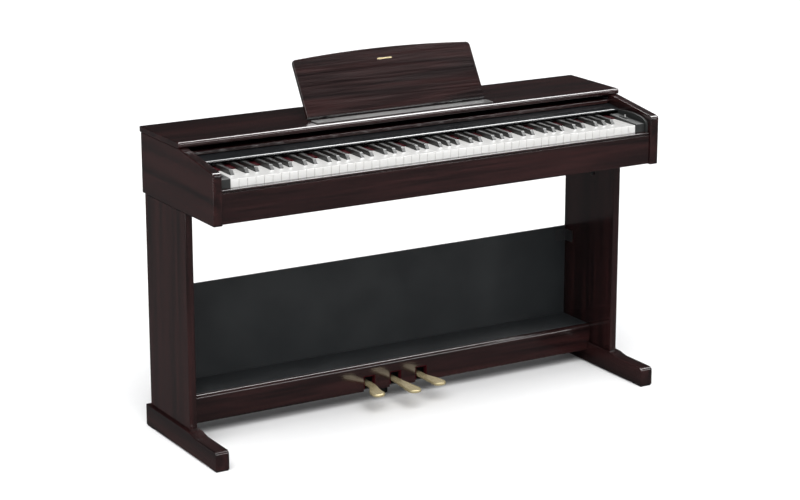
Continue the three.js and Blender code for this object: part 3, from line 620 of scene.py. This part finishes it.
def build_boards():
    """The wooden and painted boards, each with its edges eased as it left the workshop."""
    for side in ("left", "right"):
        softened(side + "_side_panel", 2.2 * MM, 4, "side_wood")
        softened(side + "_leg", 1.2 * MM, 3)
        softened(side + "_foot", 2.0 * MM, 4, "side_wood")
    softened("top_board", 1.5 * MM, 3)
    softened("front_rail", 1.5 * MM, 3)
    softened("key_cover", 0.8 * MM, 3)
    softened("music_rest", 1.4 * MM, 4)
    softened("pedal_box_front", 1.5 * MM, 3)
    softened("pedal_box_housing", 1.0 * MM, 2)
    softened("stand_back_panel", 0.8 * MM, 2)
    softened("back_board", 0.6 * MM, 2)
    softened("key_bed", 0.5 * MM, 2)


def build_fittings():
    """Brackets, blocks, switches and the panel behind the keys."""
    softened("control_panel", 1.4 * MM, 4)
    for side in ("left", "right"):
        softened(side + "_key_block", 0.8 * MM, 3)
        softened(side + "_panel_bracket", 0.4 * MM, 2)
        softened(side + "_rest_support", 0.4 * MM, 2)
        softened(side + "_front_pad", 0.8 * MM, 2)
        softened(side + "_back_pad", 0.8 * MM, 2)
    for node in ("power_switch", "volume_slider", "sound_button_1", "sound_button_2"):
        softened(node, 0.6 * MM, 3, "switch_plastic")
    softened("headphone_jack_box", 1.2 * MM, 3)
    softened("rear_jack_panel", 0.5 * MM, 2)
    softened("pedal_box_base", 0.5 * MM, 2)
    softened("pedal_box_leveller", 1.0 * MM, 3)


def groove_panel_noses():
    """A shallow groove across the front of each side panel, under its rounded nose."""
    under, top, depth = 763.4 * MM, 764.8 * MM, 1.1 * MM
    past = 2 * MM
    for side in ("left", "right"):
        low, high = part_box(side + "_side_panel")
        cutter = block(
            "groove_cutter",
            (low.x - past, low.y - past, under),
            (high.x + past, low.y + depth, top),
        )
        panel = bpy.data.objects[side + "_side_panel_finished"]
        use_modifier(panel, "BOOLEAN", object=cutter, operation="DIFFERENCE", solver="EXACT")
        bpy.data.objects.remove(cutter)


def build_power_lever_painted_highlight():
    """The small upright tab of the power switch, made pale grey as a painted highlight for a
    light upright streak on the switch block.
    """
    low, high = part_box("power_switch")
    highlight_tab = block(
        "power_lever_painted_highlight",
        (low.x + 1.5 * MM, low.y + 5 * MM, high.z - 0.2 * MM),
        (low.x + 4.5 * MM, low.y + 9 * MM, high.z + 7 * MM),
    )
    bpy.ops.object.mode_set(mode="EDIT")
    facing(highlight_tab, UP)
    bpy.ops.transform.resize(value=(0.75, 0.75, 1))
    bpy.ops.object.mode_set(mode="OBJECT")
    round_edges(highlight_tab, 0.7 * MM, 3)
    # The pale grey finish on the tab is a painted highlight.
    settle(highlight_tab, "power_switch", "grey_trim")


def build_keys():
    """White and black keys, octave by octave, with their edges eased."""
    for octave in range(1, 8):
        softened(f"white_keys_{octave}", 0.7 * MM, 2)
        softened(f"black_keys_{octave}", 1.1 * MM, 3)


def build_pedals():
    """Three cast pedals with well rounded edges."""
    for pedal in PEDALS:
        softened(pedal, 2.6 * MM, 5)


def line_pedal_slots():
    """Red felt round the sides and top of each slot that a pedal passes through."""
    low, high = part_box("pedal_box_front")
    half_width, under, top = 17.7 * MM, 46 * MM, 81.7 * MM
    pattern = block(
        "felt_pattern",
        (-half_width, low.y + 0.2 * MM, under),
        (half_width, high.y - 0.5 * MM, top),
    )
    bpy.ops.object.mode_set(mode="EDIT")
    choose_faces(pattern, lambda centre, normal: abs(normal.y) > 0.9 or normal.z < -0.9)
    bpy.ops.mesh.delete(type="FACE")
    bpy.ops.object.mode_set(mode="OBJECT")
    use_modifier(pattern, "SOLIDIFY", thickness=2.2 * MM, offset=-1)
    round_edges(pattern, 0.5 * MM, 2)
    for pedal, steps in zip(PEDALS, (-1, 0, 1)):
        lining = placed_copy(pattern, pedal + "_felt", (steps * PEDAL_SPREAD, 0, 0))
        # The felt's darkened colour is painted shade meant for the gap under the control panel,
        # and the linings carry it too.
        settle(lining, CABINET, "red_felt")
    bpy.data.objects.remove(pattern)


def build_middle_pads():
    """Rubber pads under the middle of each foot."""
    low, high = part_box("left_foot")
    pattern = block(
        "pad_pattern",
        (low.x + 6 * MM, -61 * MM, 0),
        (high.x - 6 * MM, -16 * MM, 2.7 * MM),
    )
    sink_middle(pattern, DOWN, 5 * MM, 0.8 * MM)
    round_edges(pattern, 0.6 * MM, 2)
    for side in ("left", "right"):
        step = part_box(side + "_foot")[0].x - low.x
        pad = placed_copy(pattern, side + "_middle_pad", (step, 0, 0))
        settle(pad, CABINET, "rubber")
    bpy.data.objects.remove(pattern)


def build_ledge():
    """The ribbed strip that keeps books from sliding off the rest."""
    low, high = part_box("rest_ledge")
    size = high - low
    let_go()
    bpy.ops.mesh.primitive_grid_add(x_subdivisions=1, y_subdivisions=LEDGE_STRIPES, size=1)
    ledge = bpy.context.active_object
    ledge.name = "ribbed_ledge"
    ledge.scale = (size.x, size.y, 1)
    ledge.location = ((low.x + high.x) / 2, (low.y + high.y) / 2, high.z)
    bpy.ops.object.transform_apply(location=True, rotation=True, scale=True)
    pitch = size.y / LEDGE_STRIPES
    bpy.ops.object.mode_set(mode="EDIT")
    choose_faces(ledge, lambda centre, normal: int((centre.y - low.y) / pitch) % 2 == 1)
    bpy.ops.mesh.extrude_region_move(TRANSFORM_OT_translate={"value": (0, 0, -0.9 * MM)})
    bpy.ops.object.mode_set(mode="OBJECT")
    use_modifier(ledge, "SOLIDIFY", thickness=size.z - 1.0 * MM, offset=-1)
    take(ledge)
    bpy.ops.object.shade_smooth_by_angle(angle=math.radians(30))
    settle(ledge, CABINET, "ledge_plastic")
    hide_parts("rest_ledge")


def build_rest_hinges():
    """Two thin plates that carry the rest on the lid, low enough for it to fold over them."""
    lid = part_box("top_board")[1].z
    pattern = block(
        "hinge_pattern",
        (-19 * MM, 54 * MM, lid + 0.2 * MM),
        (19 * MM, 75 * MM, lid + 0.9 * MM),
    )
    round_edges(pattern, 0.2 * MM, 2)
    for side, middle in (("left", -REST_HINGE_OFFSET), ("right", REST_HINGE_OFFSET)):
        hinge = placed_copy(pattern, side + "_rest_hinge", (middle, 0, 0))
        settle(hinge, CABINET, "dark_steel")
        for number, step in enumerate((-11 * MM, 11 * MM)):
            screw_head(
                f"{side}_rest_hinge_screw_{number + 1}",
                (middle + step, 71 * MM, lid + 0.9 * MM), UP, 2.2 * MM,
            )
    bpy.data.objects.remove(pattern)


def build_inlay():
    """A plain slim brass inlay near the top of the rest."""
    reach, proud = 141 * MM, 4.65 * MM  # up the rest and out from its middle plane
    corner = Vector((22, 1.8, 0.15)) * MM
    inlay = block("rest_inlay", -corner, corner)
    sink_middle(inlay, UP, 0.5 * MM, 0.1 * MM)
    take(inlay)
    inlay.rotation_euler = (REST_LEAN, 0, 0)
    along = Vector((0, math.cos(REST_LEAN), math.sin(REST_LEAN)))
    outward = Vector((0, -math.sin(REST_LEAN), math.cos(REST_LEAN)))
    inlay.location = REST_PIVOT + along * reach + outward * proud
    bpy.ops.object.transform_apply(location=True, rotation=True, scale=True)
    round_edges(inlay, 0.1 * MM, 2)
    settle(inlay, "music_rest", "pedal_brass")


# ---------------------------------------------------------------- screws and sockets


def build_leg_screws():
    """Screws in the inner faces of the legs: for the brackets, the body and the pedal box."""
    rows = (
        ("leg_screw", 170 * MM, (340, 361), 3.6 * MM),
        ("leg_bolt", 60 * MM, (560, 610), 6 * MM),
        ("pedal_box_screw", 100 * MM, (78, 96), 4 * MM),
    )
    for side, way in (("left", 1), ("right", -1)):
        near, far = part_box(side + "_leg")
        inner = far.x if way > 0 else near.x
        for row, depth, heights, radius in rows:
            for number, height in enumerate(heights):
                screw_head(
                    f"{side}_{row}_{number + 1}",
                    (inner, depth, height * MM), Vector((way, 0, 0)), radius,
                )


def build_back_screws():
    """Rows of screws that hold the back board and the stand's back panel."""
    low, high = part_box("back_board")
    pitch = (high.x - low.x - 30 * MM) / 7
    for number in range(8):
        across = low.x + 15 * MM + pitch * number
        for row, height in (("top", high.z - 12 * MM), ("low", low.z + 12 * MM)):
            screw_head(
                f"back_board_{row}_screw_{number + 1}", (across, high.y, height), BACK, 3.2 * MM
            )
    low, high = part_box("stand_back_panel")
    for side, across in (("left", low.x + 14 * MM), ("right", high.x - 14 * MM)):
        for number, height in enumerate((90, 220, 353)):
            screw_head(
                f"{side}_panel_screw_{number + 1}", (across, high.y, height * MM), BACK, 3.4 * MM
            )


def build_bed_screws():
    """Two rows of screws in the underside of the key bed."""
    low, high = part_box("key_bed")
    pitch = (high.x - low.x - 120 * MM) / 8
    for row, depth in enumerate((low.y + 20 * MM, high.y - 20 * MM)):
        for number in range(9):
            across = low.x + 60 * MM + pitch * number
            screw_head(f"bed_screw_{row + 1}_{number + 1}", (across, depth, low.z), DOWN, 4 * MM)


def build_sockets():
    """Steel collars in the headphone sockets and the sockets at the back."""
    low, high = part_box("headphone_jack_box")
    middle = (low.z + high.z) / 2
    for number, share in enumerate((0.27, 0.73)):
        across = low.x + share * (high.x - low.x)
        name = f"headphone_collar_{number + 1}"
        socket_collar(name, (across, low.y, middle), FORWARD, 5.2 * MM, 3.4 * MM)
    low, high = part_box("rear_jack_panel")
    middle = (low.z + high.z) / 2
    for name, across, hole in (("power", -254 * MM, 4.5 * MM), ("line", -290 * MM, 3.5 * MM)):
        place = (across, high.y, middle)
        socket_collar(name + "_socket_collar", place, BACK, hole + 2 * MM, hole + 0.1 * MM)


def build_speakers():
    """A rim and a stepped net over each speaker under the key bed."""
    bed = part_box("key_bed")[0].z
    low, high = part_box("left_speaker")
    x, y = (low.x + high.x) / 2, (low.y + high.y) / 2
    pattern = rod("speaker_pattern", (x, y, bed), DOWN, 66 * MM, 2.4 * MM, 64)
    bpy.ops.object.mode_set(mode="EDIT")
    facing(pattern, DOWN)
    bpy.ops.mesh.inset(thickness=6 * MM)
    bpy.ops.mesh.extrude_region_move(TRANSFORM_OT_translate={"value": (0, 0, 1.6 * MM)})
    for _ in range(4):
        bpy.ops.mesh.inset(thickness=13 * MM)
        bpy.ops.transform.translate(value=(0, 0, -0.25 * MM))
    bpy.ops.object.mode_set(mode="OBJECT")
    round_edges(pattern, 0.4 * MM, 2)
    for side in ("left", "right"):
        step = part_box(side + "_speaker")[0].x - low.x
        rim = placed_copy(pattern, side + "_speaker_rim", (step, 0, 0))
        settle(rim, CABINET, "speaker")
    bpy.data.objects.remove(pattern)


# ---------------------------------------------------------------- carried parts


def dress_carried_parts():
    """The parts that stay as drawn get their finishes."""
    for name, node in frame["nodes"].items():
        if not node.hide_render:
            wear_finish(node, slot_of_node(name))


bpy.context.scene.tool_settings.mesh_select_mode = (False, False, True)
place_camera()
light_studio()
finishes = make_finishes()
lay_floor()
build_boards()
groove_panel_noses()
build_fittings()
build_power_lever_painted_highlight()
build_keys()
build_pedals()
line_pedal_slots()
build_middle_pads()
build_ledge()
screw_pattern = model_screw_pattern()
build_rest_hinges()
build_inlay()
build_leg_screws()
build_back_screws()
build_bed_screws()
bpy.data.objects.remove(screw_pattern)
build_sockets()
build_speakers()
dress_carried_parts()
